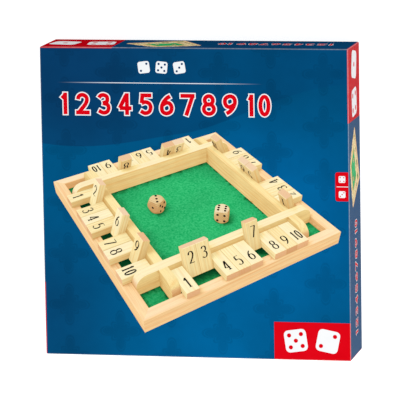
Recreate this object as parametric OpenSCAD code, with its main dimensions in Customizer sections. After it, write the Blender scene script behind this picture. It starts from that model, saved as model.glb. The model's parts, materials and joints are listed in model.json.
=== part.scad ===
// Boxed shut-the-box game for four players: a square wooden board with a bank of ten hinged number
// tiles on each side, two dice, and the two-piece cardboard box that it is sold and kept in.
// The box lies flat with its lid up. The origin is at the middle of its underside, +Z is up and the
// front of the game faces -Y. All sizes are in millimetres.

/* [Wooden board] */
// Outer width of the square board
board_w = 240; // [220:1:280]
// Width of the outer rails
rail_w = 11; // [8:0.5:14]
// Height of the outer rails
rail_h = 17.5; // [15:0.5:24]
// Thickness of the base panel
panel_t = 4; // [3:0.5:5]
// Height of the base panel above the rails' undersides
panel_lift = 3.5; // [2:0.5:5]
// Depth of the groove in the rails that holds the base panel
groove_d = 4; // [2:0.5:6]
// Thickness of the felt sheet
felt_t = 0.8; // [0.5:0.1:1.5]
// Eased edge of the rails and walls
wood_ease = 0.6; // [0.2:0.1:1]

/* [Inner walls] */
// Distance from the board's edge to the outer face of an inner wall
wall_setback = 36; // [33:0.5:42]
// Thickness of the inner walls
wall_t = 9.5; // [6:0.5:12]
// Height of the inner walls above the rails
wall_rise = 13; // [11:0.5:15]

/* [Number tiles] */
// Thickness of a tile
tile_t = 8.5; // [6:0.5:10]
// Gap between neighbouring tiles
tile_gap = 0.4; // [0.3:0.1:1]
// Clearance between the end tiles and the walls beside them
bank_clear = 0.5; // [0.3:0.1:1]
// Distance from a lowered tile's free end to the board's edge
tile_margin = 1.5; // [1:0.5:5]
// Distance from the rod's axis to the tile's hinge end
hinge_end = 6; // [4:0.5:7]
// Eased edge of a tile
tile_ease = 0.5; // [0.2:0.1:1]
// Clearance between the turning heel of a tile and the wall behind it
heel_clear = 0.65; // [0.4:0.05:1]
// Clearance between a resting tile and the wood that stops it
rest_clear = 0.15; // [0.1:0.05:0.3]

/* [Hinge rods] */
// Diameter of the steel rods
rod_d = 3; // [2:0.5:4]
// Radial clearance between a rod and the tiles' bores
bore_clear = 0.1; // [0.05:0.05:0.1]
// Radial clearance between a rod and the holes in the walls
rod_fit = 0.03; // [0.01:0.01:0.05]

/* [Dice] */
// Width of a die
die_w = 16; // [12:1:18]
// Diameter of the ball that rounds a die's corners
die_ball_d = 22; // [20:0.5:24]
// Diameter of a pip
pip_d = 2.8; // [1.5:0.1:3]
// Depth of a pip
pip_depth = 0.5; // [0.3:0.1:0.8]
// Distance between pips
pip_pitch = 3.9; // [3:0.1:4]
// Distance of the first die to the right of the middle of the board
die_a_x = -21; // [-50:1:50]
// Distance of the first die behind the middle of the board
die_a_y = -3; // [-50:1:50]
// Turn of the first die about the vertical
die_a_turn = 24; // [-45:1:45]
// Distance of the second die to the right of the middle of the board
die_b_x = 22; // [-50:1:50]
// Distance of the second die behind the middle of the board
die_b_y = 47; // [-50:1:50]
// Turn of the second die about the vertical
die_b_turn = -38; // [-45:1:45]

/* [Cardboard box] */
// Thickness of the greyboard of lid and tray
card_t = 1.5; // [1:0.1:2.5]
// Eased outer edge of the greyboard of lid and tray
card_ease = 0.4; // [0.2:0.1:0.8]
// Thickness of the paper that wraps lid and tray
wrap_t = 0.3; // [0.2:0.05:0.4]
// Width of the paper's turn-in inside the rims
turn_in = 14; // [8:1:20]
// Clearance between the board and the tray's walls
board_clear = 1; // [0.5:0.1:3]
// Clearance between the lid's skirt and the tray
lid_clear = 0.5; // [0.3:0.1:1]
// Clearance between the turning tiles and the lid
head_clear = 0.5; // [0.3:0.1:3]
// Height of the lid's rim above the table
lid_raise = 1; // [0.5:0.1:5]

/* [Hidden] */
TILES = 10;
SIDES = ["front", "right", "back", "left"];

$fn = 48;
// Overshoot of a cut past the face that it leaves through
cut = 1;

// Tiles that stand raised at rest, for each side in the order of SIDES, numbered 1 to 10 from the
// left of a player who sits at that side
RAISED = [[1, 4, 5, 9, 10], [1, 7, 10], [1, 2, 7, 10], [1, 3, 5, 6, 9]];

// Board, from its edge and its underside
half_w = board_w / 2;
panel_top = panel_lift + panel_t;
felt_top = panel_top + felt_t;
wall_top = rail_h + wall_rise;
well_w = board_w - 2 * (wall_setback + wall_t);
// Clearance of a piece that is glued or set into another
set_fit = 0.05;
panel_w = board_w - 2 * (rail_w - groove_d) - 2 * set_fit;
inner_w = board_w - 2 * rail_w;

// Hinge: the heel is the far corner of the tile's hinge end, and the lean is the angle between a
// raised tile and the table, where its face meets the top edge of the wall
heel_r = norm([hinge_end, tile_t / 2]);
rod_off = heel_r + heel_clear;
rod_y = -half_w + wall_setback - rod_off;
rod_z = rail_h + rest_clear + tile_t / 2;
tile_reach = wall_setback - rod_off - tile_margin;
edge_rise = wall_top - rod_z;
edge_r = norm([rod_off, edge_rise]);
lean = atan2(edge_rise, rod_off) + asin((tile_t / 2 + rest_clear) / edge_r);
swing = 180 - lean;
tile_pitch = (well_w - 2 * bank_clear) / TILES;
tile_w = tile_pitch - tile_gap;
sweep_top = rod_z + norm([tile_reach, tile_t / 2]);

// Box, from the table up
board_z = wrap_t + card_t;
inside_top = board_z + sweep_top + head_clear;
tray_in = board_w + 2 * board_clear;
tray_out = tray_in + 2 * card_t;
lid_in = tray_out + 2 * wrap_t + 2 * lid_clear;
lid_out = lid_in + 2 * card_t;
// Eased edge of the paper, which is as thick over the board's eased edge as on its sides
wrap_ease = card_ease + (2 - sqrt(2)) * wrap_t;

PINE = [0.87, 0.74, 0.55];
GREYBOARD = [0.62, 0.60, 0.56];

// A square sheet or block of width w from height z0 to z1, centred on the Z axis
module slab(w, z0, z1) {
    translate([-w / 2, -w / 2, z0]) cube([w, w, z1 - z0]);
}

// Children drawn for the front side, turned to side number k
module at_side(k) {
    rotate([0, 0, 90 * k]) children();
}

// Children placed in the board's own height, on the tray's floor
module on_board() {
    translate([0, 0, board_z]) children();
}

// Rectangle from p to q with its corners cut off by c
module eased_rect(p, q, c) {
    polygon([
        [p.x + c, p.y], [q.x - c, p.y], [q.x, p.y + c], [q.x, q.y - c],
        [q.x - c, q.y], [p.x + c, q.y], [p.x, q.y - c], [p.x, p.y + c]
    ]);
}

// A profile drawn in Y and Z, run along X for a length l about the middle
module along_x(l) {
    translate([-l / 2, 0, 0]) rotate([90, 0, 90]) linear_extrude(l) children();
}

// A square block of width w from height z0 to z1, with all its edges cut off by c
module eased_slab(w, z0, z1, c) {
    intersection() {
        translate([0, 0, z0]) linear_extrude(z1 - z0) eased_rect([-w / 2, -w / 2], [w / 2, w / 2], c);
        along_x(w) eased_rect([-w / 2, z0], [w / 2, z1], c);
        at_side(1) along_x(w) eased_rect([-w / 2, z0], [w / 2, z1], c);
    }
}

// ---- Cardboard box ----

// An open box of sheet t thick, with its closed face at z_closed, its rim at z_rim and inner width w
module sheet_box(w, t, z_closed, z_rim) {
    dir = sign(z_rim - z_closed);
    difference() {
        eased_slab(w + 2 * t, min(z_closed, z_rim), max(z_closed, z_rim), card_ease);
        slab(w, min(z_closed + dir * t, z_rim + dir * cut), max(z_closed + dir * t, z_rim + dir * cut));
    }
}

// The paper on a sheet box of inner width w and wall t: over the closed face and the sides, round
// the rim and in again by turn_in
module paper_wrap(w, t, z_closed, z_rim) {
    dir = sign(z_rim - z_closed);
    outer = w + 2 * t;
    z_out = z_closed - dir * wrap_t;
    z_end = z_rim + dir * wrap_t;
    z_turn = z_rim - dir * turn_in;
    difference() {
        eased_slab(outer + 2 * wrap_t, min(z_out, z_end), max(z_out, z_end), wrap_ease);
        eased_slab(outer, min(z_closed, z_rim), max(z_closed, z_rim), card_ease);
        slab(w - 2 * wrap_t, min(z_closed, z_end + dir * cut), max(z_closed, z_end + dir * cut));
    }
    difference() {
        slab(w, min(z_turn, z_rim), max(z_turn, z_rim));
        slab(w - 2 * wrap_t, min(z_turn, z_rim) - cut, max(z_turn, z_rim) + cut);
    }
}

module lid_board() {
    color(GREYBOARD) sheet_box(lid_in, card_t, inside_top + card_t, lid_raise + wrap_t);
}

module lid_wrap() {
    color([0.07, 0.22, 0.62]) paper_wrap(lid_in, card_t, inside_top + card_t, lid_raise + wrap_t);
}

module tray_board() {
    color(GREYBOARD) sheet_box(tray_in, card_t, wrap_t, inside_top - wrap_t);
}

module tray_wrap() {
    color([0.10, 0.16, 0.40]) paper_wrap(tray_in, card_t, wrap_t, inside_top - wrap_t);
}

// ---- Wooden board ----

module base_panel() {
    color([0.80, 0.66, 0.46]) on_board() slab(panel_w, panel_lift, panel_top);
}

module felt_sheet() {
    color([0.05, 0.36, 0.16]) on_board() slab(inner_w - 2 * set_fit, panel_top, felt_top);
}

// One outer rail: eased on top, grooved for the panel and mitred at both ends
module rail(k) {
    color(PINE) on_board() at_side(k) intersection() {
        along_x(board_w) difference() {
            eased_rect([-half_w, 0], [-half_w + rail_w, rail_h], wood_ease);
            translate([-half_w + rail_w - groove_d, panel_lift - set_fit])
                square([groove_d + cut, panel_t + 2 * set_fit]);
        }
        linear_extrude(rail_h) polygon([
            [-half_w, -half_w], [half_w, -half_w],
            [half_w - rail_w, -half_w + rail_w], [-half_w + rail_w, -half_w + rail_w]
        ]);
    }
}

// Side view of an inner wall: its ends run on past the crossings as ears, which round down to the
// height of the rails
module wall_profile() {
    ear_r = wall_top - rail_h;
    end = inner_w / 2;
    intersection() {
        translate([-end, felt_top]) square([2 * end, wall_top - felt_top]);
        union() {
            translate([-end + ear_r, felt_top]) square([2 * (end - ear_r), wall_top - felt_top]);
            translate([-end, felt_top]) square([2 * end, rail_h - felt_top]);
            for (s = [-1, 1]) translate([s * (end - ear_r), rail_h]) circle(r = ear_r);
        }
    }
}

// One inner wall. The front and back walls are notched from above and the side walls from below,
// half through at each crossing. Each ear has the hole for the rod that ends in it.
module wall(k) {
    mid_y = -half_w + wall_setback + wall_t / 2;
    lap = (felt_top + wall_top) / 2;
    notched_above = k % 2 == 0;
    color(PINE) on_board() at_side(k) difference() {
        translate([0, mid_y + wall_t / 2, 0]) rotate([90, 0, 0]) linear_extrude(wall_t) wall_profile();
        for (s = [-1, 1]) {
            translate([
                s * mid_y - wall_t / 2 - set_fit,
                mid_y - wall_t / 2 - cut,
                notched_above ? lap - set_fit / 2 : felt_top - cut
            ])
                cube([
                    wall_t + 2 * set_fit,
                    wall_t + 2 * cut,
                    notched_above ? wall_top : lap + set_fit / 2 - felt_top + cut
                ]);
            translate([s * rod_y, mid_y + wall_t / 2 + cut, rod_z])
                rotate([90, 0, 0]) cylinder(d = rod_d + 2 * rod_fit, h = wall_t + 2 * cut);
        }
    }
}

// The four hinge rods, each flush with the outer faces of the two ears that hold it
module rods() {
    rod_l = well_w + 2 * wall_t;
    color("silver") on_board() for (k = [0 : 3]) at_side(k)
        translate([-rod_l / 2, rod_y, rod_z]) rotate([0, 90, 0]) cylinder(d = rod_d, h = rod_l);
}

// ---- Number tiles ----

// A tile about its rod, lowered, with its free end towards -Y
module tile_body() {
    difference() {
        intersection() {
            along_x(tile_w) eased_rect([-tile_reach, -tile_t / 2], [hinge_end, tile_t / 2], tile_ease);
            translate([0, hinge_end, 0]) rotate([90, 0, 0]) linear_extrude(tile_reach + hinge_end)
                eased_rect([-tile_w / 2, -tile_t / 2], [tile_w / 2, tile_t / 2], tile_ease);
        }
        translate([-tile_w / 2 - cut, 0, 0]) rotate([0, 90, 0])
            cylinder(d = rod_d + 2 * bore_clear, h = tile_w + 2 * cut);
    }
}

// Tile number n of side k, where it stands at rest
module tile(k, n) {
    raised = len(search(n, RAISED[k])) > 0;
    color(PINE) on_board() at_side(k)
        translate([(n - (TILES + 1) / 2) * tile_pitch, rod_y, rod_z])
            rotate([raised ? -swing : 0, 0, 0]) tile_body();
}

// ---- Dice ----

// Pips of value v, as places in a grid of three by three
function pips(v) = [
    for (x = [-1 : 1], y = [-1 : 1])
        if ((x == 0 && y == 0) ? v % 2 == 1
            : (x == y) ? v >= 2
            : (x == -y) ? v >= 4
            : y == 0 && v == 6)
            [x, y]
];

// A die of width die_w, with opposite faces that add up to seven
module die(top, side_turns) {
    pip_ball = (pip_d * pip_d / 4 + pip_depth * pip_depth) / (2 * pip_depth);
    faces = [[0, 0, 1], [180, 0, 6], [90, 0, 2], [-90, 0, 5], [0, 90, 3], [0, -90, 4]];
    rotate(top) rotate([0, 0, side_turns]) difference() {
        intersection() {
            cube(die_w, center = true);
            sphere(d = die_ball_d);
        }
        for (f = faces) rotate([f[0], f[1], 0]) for (p = pips(f[2]))
            translate([p.x * pip_pitch, p.y * pip_pitch, die_w / 2 + pip_ball - pip_depth])
                sphere(r = pip_ball);
    }
}

module on_felt(place, turn) {
    color([0.82, 0.65, 0.42]) on_board() translate([place.x, place.y, felt_top + die_w / 2])
        rotate([0, 0, turn]) children();
}

module die_a() { on_felt([die_a_x, die_a_y], die_a_turn) die([0, 0, 0], 90); }

module die_b() { on_felt([die_b_x, die_b_y], die_b_turn) die([0, -90, 0], 180); }

lid_board();
lid_wrap();
tray_board();
tray_wrap();
base_panel();
felt_sheet();
for (k = [0 : 3]) {
    rail(k);
    wall(k);
    for (n = [1 : TILES])
        tile(k, n);
}
rods();
die_a();
die_b();
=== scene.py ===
import json
import math
from collections import namedtuple

import bmesh
import bpy
from mathutils import Matrix, Vector, geometry
from mathutils.bvhtree import BVHTree


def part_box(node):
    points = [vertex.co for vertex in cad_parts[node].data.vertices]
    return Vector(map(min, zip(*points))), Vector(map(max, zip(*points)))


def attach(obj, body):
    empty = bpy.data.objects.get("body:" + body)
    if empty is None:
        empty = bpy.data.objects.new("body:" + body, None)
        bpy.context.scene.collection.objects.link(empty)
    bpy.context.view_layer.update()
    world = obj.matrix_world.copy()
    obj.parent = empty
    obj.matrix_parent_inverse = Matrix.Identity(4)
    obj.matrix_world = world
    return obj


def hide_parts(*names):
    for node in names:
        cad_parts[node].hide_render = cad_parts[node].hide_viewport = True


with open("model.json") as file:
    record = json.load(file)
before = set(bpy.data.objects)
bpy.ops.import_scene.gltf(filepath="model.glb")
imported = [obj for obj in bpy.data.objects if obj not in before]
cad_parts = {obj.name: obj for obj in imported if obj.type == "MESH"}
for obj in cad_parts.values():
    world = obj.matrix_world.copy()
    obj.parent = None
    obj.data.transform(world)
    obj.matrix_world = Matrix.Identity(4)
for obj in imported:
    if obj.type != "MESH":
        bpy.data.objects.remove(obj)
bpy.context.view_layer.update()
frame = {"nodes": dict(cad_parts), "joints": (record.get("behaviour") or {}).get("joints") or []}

MM = 0.001
NODES = frame["nodes"]
JOINTS = {joint["name"]: joint for joint in frame["joints"]}
SIDES = ("front", "right", "back", "left")
TILES = range(1, 11)
QUARTER = math.pi / 2
WHOLE = math.pi * 2

# ---------------------------------------------------------------- colours and node trees


def lin(red, green, blue):
    """A colour written as sRGB 0 to 255, as the linear colour that shaders take."""
    parts = [c / 255 for c in (red, green, blue)]
    return (*(c / 12.92 if c <= 0.04045 else ((c + 0.055) / 1.055) ** 2.4 for c in parts), 1.0)


class Value:
    """A number, vector or colour in a node tree. Sums, products and the like make math nodes."""

    def __init__(self, tree, socket):
        self.tree = tree
        self.socket = socket

    def math(self, operation, *others):
        return self.tree.node("Math", self, *others, operation=operation)

    def vector(self, operation, other=None, out=0):
        return self.tree.node("VectorMath", self, other, operation=operation, out=out)

    def __add__(self, other):
        return self.math("ADD", other)

    def __sub__(self, other):
        return self.math("SUBTRACT", other)

    def __rsub__(self, other):
        return self.tree.node("Math", other, self, operation="SUBTRACT")

    def __mul__(self, other):
        return self.math("MULTIPLY", other)

    def __truediv__(self, other):
        return self.math("DIVIDE", other)

    def __pow__(self, other):
        return self.math("POWER", other)

    def __abs__(self):
        return self.math("ABSOLUTE")

    def most(self, other):
        return self.math("MAXIMUM", other)

    def least(self, other):
        return self.math("MINIMUM", other)

    def length(self):
        return self.vector("LENGTH", out=1)

    def split(self):
        made = self.tree.node("SeparateXYZ", self).socket.node
        return [Value(self.tree, socket) for socket in made.outputs]

    def span(self, low, high, to_low=0.0, to_high=1.0):
        """The number, taken smoothly from low..high to to_low..to_high and held beyond."""
        return self.tree.node(
            "MapRange", self, low, high, to_low, to_high, interpolation_type="SMOOTHSTEP"
        )

    def vary(self, low=0.0, high=1.0):
        """A noise, which lies mostly between 0.3 and 0.7, taken to low..high."""
        return self.span(0.3, 0.7, low, high)

    def dim(self, factor):
        """The colour times a number."""
        return self.tree.dim(self, factor)


class Tree:
    """A material's node tree, built by short calls. An argument is a Value or a constant."""

    def __init__(self, name):
        self.material = bpy.data.materials.new(name)
        self.material.use_nodes = True
        self.nodes = self.material.node_tree.nodes
        self.links = self.material.node_tree.links
        self.nodes.clear()
        self.shader = self.nodes.new("ShaderNodeBsdfPrincipled")
        self.links.new(self.shader.outputs[0], self.nodes.new("ShaderNodeOutputMaterial").inputs[0])
        place = self.nodes.new("ShaderNodeTexCoord")
        self.point = Value(self, place.outputs["Object"])
        self.normal = Value(self, place.outputs["Normal"])

    def put(self, socket, value):
        if isinstance(value, Value):
            self.links.new(value.socket, socket)
        else:
            socket.default_value = value

    def node(self, kind, *values, out=0, **settings):
        made = self.nodes.new("ShaderNode" + kind)
        for key, value in settings.items():
            setattr(made, key, value)
        for socket, value in zip(made.inputs, values):
            if value is not None:
                self.put(socket, value)
        return Value(self, made.outputs[out])

    def join(self, x, y, z=0.0):
        return self.node("CombineXYZ", x, y, z)

    def noise(self, place, scale, detail=3.0, rough=0.5, bend=0.0):
        """Noise at a place. Three numbers as scale make it finer along one axis than another."""
        if isinstance(scale, tuple):
            place, scale = place.vector("MULTIPLY", scale), 1.0
        made = self.node("TexNoise", place, None, scale, detail, rough)
        self.put(made.socket.node.inputs["Distortion"], bend)
        return made

    def mix(self, share, a, b, blend="MIX"):
        return self.node("Mix", share, *[None] * 5, a, b, out=2, data_type="RGBA", blend_type=blend)

    def dim(self, colour, factor):
        return self.mix(1.0, colour, self.join(factor, factor, factor), "MULTIPLY")

    def attribute(self, name, out):
        return self.node("Attribute", attribute_name=name, out=out)

    def bump(self, height, depth, strength):
        """Relief that is depth mm deep where the height is 1."""
        made = self.node("Bump", strength, depth * MM)
        self.put(made.socket.node.inputs["Height"], height)
        return made

    def finish(self, colour, rough, normal=None, gloss=0.5, **constants):
        self.put(self.shader.inputs["Base Color"], colour)
        self.put(self.shader.inputs["Roughness"], rough)
        if normal is not None:
            self.put(self.shader.inputs["Normal"], normal)
        self.shader.inputs["Specular IOR Level"].default_value = gloss
        for name, value in constants.items():
            self.shader.inputs[name.replace("_", " ")].default_value = value
        return self.material


# ---------------------------------------------------------------- wood, felt, board, steel, ink

TILE_LIGHT, TILE_DARK = lin(247, 229, 178), lin(224, 185, 122)
RAIL_LIGHT, RAIL_DARK = lin(243, 212, 168), lin(222, 172, 118)
DIE_LIGHT, DIE_DARK = lin(222, 184, 124), lin(180, 132, 76)
VENEER_LIGHT, VENEER_DARK, PLY_DARK = lin(228, 198, 150), lin(200, 160, 108), lin(150, 104, 66)
END_GRAIN = lin(226, 160, 116)
PLY_PAIR = 1.3 * MM


def grain(tree, local, light, dark, seed, pith=(0.034, 0.021), period=0.0021):
    """Wood colour and height at a point: x runs along the fibres, y and z across them. The rings
    are a period apart round a pith that lies about so far from the piece's own axis, and each
    seed is another cut of the wood."""
    place = local.vector("ADD", (seed * 0.173 % 1, seed * 0.377 % 1, seed * 0.611 % 1))
    wander = tree.noise(place, (5.0, 22.0, 22.0), 2.0)
    _, y, z = local.split()
    y = y + pith[0] * (0.8 + 0.5 * math.sin(seed * 1.7))
    z = z + pith[1] * (0.8 + 0.5 * math.cos(seed * 2.3))
    ring = tree.join(0.0, y, z).length() / period + wander * 3.4
    late = (ring * WHOLE).math("SINE").span(-0.3, 1.0)
    fibre = tree.noise(place, (38.0, 1300.0, 1300.0), 3.0, 0.6)
    streak = tree.noise(place, (7.0, 170.0, 170.0), 2.0)
    cloud = tree.noise(place, 26.0, 2.0)
    share = late * streak.span(0.3, 0.75, 0.10, 0.62) + cloud.span(0.35, 0.75, 0.0, 0.22)
    colour = tree.mix(share, light, dark).dim(fibre.span(0.40, 0.62, 0.90, 1.03))
    return colour, fibre + late * 0.5


def in_own_axes(tree, value, place, turn):
    """A point or a normal of the row frame, taken to a piece's own axes."""
    return tree.node("Mapping", value, tuple(place), tuple(turn.to_euler()))


def wood(name, to_local, light, dark, seed, tone):
    """A piece of wood. to_local takes row-frame points to the piece's own: x along the fibres."""
    tree = Tree(name)
    place, turn, _ = to_local.decompose()
    local = in_own_axes(tree, tree.point, place, turn)
    colour, height = grain(tree, local, light, dark, seed)
    speck = tree.noise(local, 900.0).vary(0.86, 1.08)
    normal = in_own_axes(tree, tree.normal, (0, 0, 0), turn)
    end = abs(normal.split()[0]).span(0.75, 0.95, 0.0, 0.62)
    colour = tree.mix(end, colour, tree.dim(END_GRAIN, speck)).dim(tone)
    rough = height.span(0.3, 1.1, 0.42, 0.58)
    return tree.finish(colour, rough, tree.bump(height, 0.04, 0.6), gloss=0.35)


def wood_axes(long_axis, origin=(0, 0, 0)):
    """Matrix that takes row-frame points to local ones with x along long_axis ('X' or 'Y')."""
    turn = Matrix.Rotation(-QUARTER, 4, "Z") if long_axis == "Y" else Matrix.Identity(4)
    return turn @ Matrix.Translation(-Vector(origin))


def felt_material():
    tree = Tree("green_felt")
    fuzz = tree.noise(tree.point, 1500.0, 4.0, 0.7)
    lie = tree.noise(tree.point, (260.0, 640.0, 400.0), 3.0, 0.6, 0.8)
    share = fuzz.vary(0.0, 0.45) + lie.vary(0.0, 0.4)
    share = share + tree.noise(tree.point, 24.0).vary(-0.08, 0.12)
    return tree.finish(
        tree.mix(share, lin(26, 162, 92), lin(86, 212, 142)), fuzz.span(0.2, 0.8, 0.85, 1.0),
        tree.bump(fuzz + lie, 0.22, 0.8), gloss=0.1, Sheen_Weight=0.25, Sheen_Roughness=0.45,
    )


def greyboard_material(name, seed):
    """Uncoated greyboard: pressed waste fibres, with darker and lighter specks."""
    tree = Tree(name)
    point = tree.point.vector("ADD", (seed, seed * 0.5, 0.0))
    pulp = tree.noise(point, 420.0, 5.0, 0.65)
    speck = tree.node("TexVoronoi", point, None, 900.0).span(0.05, 0.22, 1.0, 0.0)
    colour = tree.mix(pulp.vary(), lin(160, 155, 146), lin(196, 191, 181))
    colour = tree.mix(speck * 0.35, colour, lin(92, 86, 80))
    colour = colour.dim(tree.noise(point, 30.0).vary(0.95, 1.04))
    rough = pulp.vary(0.82, 0.95)
    return tree.finish(colour, rough, tree.bump(pulp, 0.06, 0.7), gloss=0.25)


def steel_material():
    """Drawn steel rod: fine lengthwise lines and a little tarnish."""
    tree = Tree("rod_steel")
    line = tree.noise(tree.point, (700.0, 700.0, 2600.0))
    stain = tree.noise(tree.point, 90.0)
    colour = tree.mix(stain.span(0.4, 0.7), lin(196, 197, 198), lin(158, 156, 152))
    rough = line.vary(0.2, 0.36) + stain.span(0.4, 0.7, 0.0, 0.1)
    return tree.finish(colour, rough, tree.bump(line, 0.01, 0.5), Metallic=1.0)


def plywood_material():
    """Three-ply panel: flat-cut face veneer, and dark and light plies on its edge."""
    tree = Tree("plywood")
    colour, height = grain(
        tree, tree.point, VENEER_LIGHT, VENEER_DARK, 7.3, pith=(0.02, 0.05), period=0.006
    )
    ply = (tree.point.split()[2] * (WHOLE / PLY_PAIR)).math("SINE")
    edge = 1.0 - abs(tree.normal.split()[2])
    colour = tree.mix(edge * ply.span(-0.4, 0.4, 0.0, 0.7), colour, PLY_DARK)
    rough = height.span(0.3, 1.1, 0.5, 0.66)
    return tree.finish(colour, rough, tree.bump(height, 0.06, 0.6), gloss=0.3)


# How much a print mirrors the room. The lid's face and its left and right sides are satin.
SATIN, MATT = 0.009, 0.0
FINISHES = {SATIN: "satin", MATT: "matt"}
GLOSS = {"top": SATIN, "front": MATT, "right": SATIN, "back": MATT, "left": SATIN}


def ink_material(name, dark, light, gloss=SATIN):
    """Printing ink, with the fine unevenness of a print and a little of the ground through it."""
    tree = Tree(name)
    dots = tree.noise(tree.point, 2400.0, 3.0, 0.6)
    cloud = tree.noise(tree.point, 60.0)
    share = dots.span(0.35, 0.65, 0.0, 0.5) + cloud.vary(0.0, 0.5)
    rough = dots.vary(0.40, 0.50)
    return tree.finish(tree.mix(share, dark, light), rough, tree.bump(dots, 0.01, 0.3), gloss)


def dress(node, material):
    """Gives a CAD node a material in all its slots."""
    mesh = NODES[node].data
    mesh.materials.clear()
    mesh.materials.append(material)


# ---------------------------------------------------------------- meshes


def mesh_object(name, vertices, faces, materials, indices=None):
    mesh = bpy.data.meshes.new(name)
    mesh.from_pydata([tuple(v) for v in vertices], [], faces)
    for material in materials:
        mesh.materials.append(material)
    if indices is not None:
        mesh.polygons.foreach_set("material_index", indices)
    mesh.update()
    made = bpy.data.objects.new(name, mesh)
    bpy.context.scene.collection.objects.link(made)
    return made


def arc(start, stop, steps):
    return [start + (stop - start) * n / steps for n in range(steps + 1)]


def rounded(x, y, w, h, radius, turn=0.0):
    """A rectangle about (x, y) with rounded corners, turned by an angle, counter-clockwise."""
    c, s = math.cos(turn), math.sin(turn)
    points = []
    for k in range(4):
        corner_x = (w / 2 - radius) * (1 if k in (0, 3) else -1)
        corner_y = (h / 2 - radius) * (1 if k in (0, 1) else -1)
        for a in arc(k * QUARTER, (k + 1) * QUARTER, 5):
            px, py = corner_x + radius * math.cos(a), corner_y + radius * math.sin(a)
            points.append((x + c * px - s * py, y + s * px + c * py))
    return points


# Paper over board, in mm: radius of the folds, of the bends at the rim and of the sharpest corner,
# thicknesses, and how far the paper is turned in behind the rim
FOLD, LIP, SHARPEST = 0.9, 0.45, 0.05
BOARD, PAPER, TURN_IN = 1.5, 0.3, 14.0


def paper_shell(name, half, closed, rim, material):
    """The printed paper of a cardboard lid or tray, in mm: over its closed face and its four
    sides, round the rim and in again. Edges are as round as paper over board makes them."""
    sense = 1 if closed > rim else -1
    inside = BOARD + 2 * PAPER
    profile = []
    for radius, start, stop, steps, inset, inwards, height, upwards in (
        (FOLD, QUARTER, 0, 5, 0, 1, closed, -sense),
        (LIP, 0, QUARTER, 4, 0, 1, rim, sense),
        (LIP, QUARTER, 0, 4, inside, -1, rim, sense),
    ):
        for turn in arc(start, stop, steps):
            across, along = radius - radius * math.cos(turn), radius - radius * math.sin(turn)
            profile.append((inset + inwards * across, height + upwards * along))
    end = rim + sense * (PAPER + TURN_IN)
    profile += [
        (inside, end), (inside - PAPER, end), (inside - PAPER, rim + sense * PAPER),
        (PAPER, rim + sense * PAPER), (PAPER, closed - sense * PAPER),
    ]
    vertices, faces = [], []
    for inset, z in profile:
        wide = 2 * (half - inset)
        for x, y in rounded(0, 0, wide, wide, max(FOLD - inset, SHARPEST)):
            vertices.append((x * MM, y * MM, z * MM))
    ring = len(vertices) // len(profile)
    for n in range(len(profile) - 1):
        for m in range(ring):
            a, b = n * ring + m, n * ring + (m + 1) % ring
            faces.append((a, a + ring, b + ring, b) if sense > 0 else (b, b + ring, a + ring, a))
    first, last = list(range(ring)), list(range((len(profile) - 1) * ring, len(vertices)))
    faces += [first, last[::-1]] if sense > 0 else [first[::-1], last]
    return mesh_object(name, vertices, faces, [material])


# ---------------------------------------------------------------- flat shapes and numerals


def area(polygon):
    return 0.5 * sum(
        a[0] * b[1] - b[0] * a[1] for a, b in zip(polygon, polygon[1:] + polygon[:1])
    )


def counter_clockwise(polygon):
    return polygon if area(polygon) > 0 else polygon[::-1]


def smooth_line(points, steps=6):
    """A Catmull-Rom line through the points."""
    count = len(points)
    line = []
    for n in range(count - 1):
        p = [points[min(max(n + k, 0), count - 1)] for k in (-1, 0, 1, 2)]
        for t in arc(0, 1, steps)[:-1]:
            line.append(tuple(
                0.5 * (2 * p[1][i] + (p[2][i] - p[0][i]) * t
                       + (2 * p[0][i] - 5 * p[1][i] + 4 * p[2][i] - p[3][i]) * t * t
                       + (3 * p[1][i] - p[0][i] - 3 * p[2][i] + p[3][i]) * t ** 3)
                for i in (0, 1)
            ))
    return line + [points[-1]]


def oval(cx, cy, rx, ry, count=28):
    turns = arc(0, WHOLE, count)[:-1]
    return [(cx + rx * math.cos(a), cy + ry * math.sin(a)) for a in turns]


def rectangle(x0, y0, x1, y1):
    return [(x0, y0), (x1, y0), (x1, y1), (x0, y1)]


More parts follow.
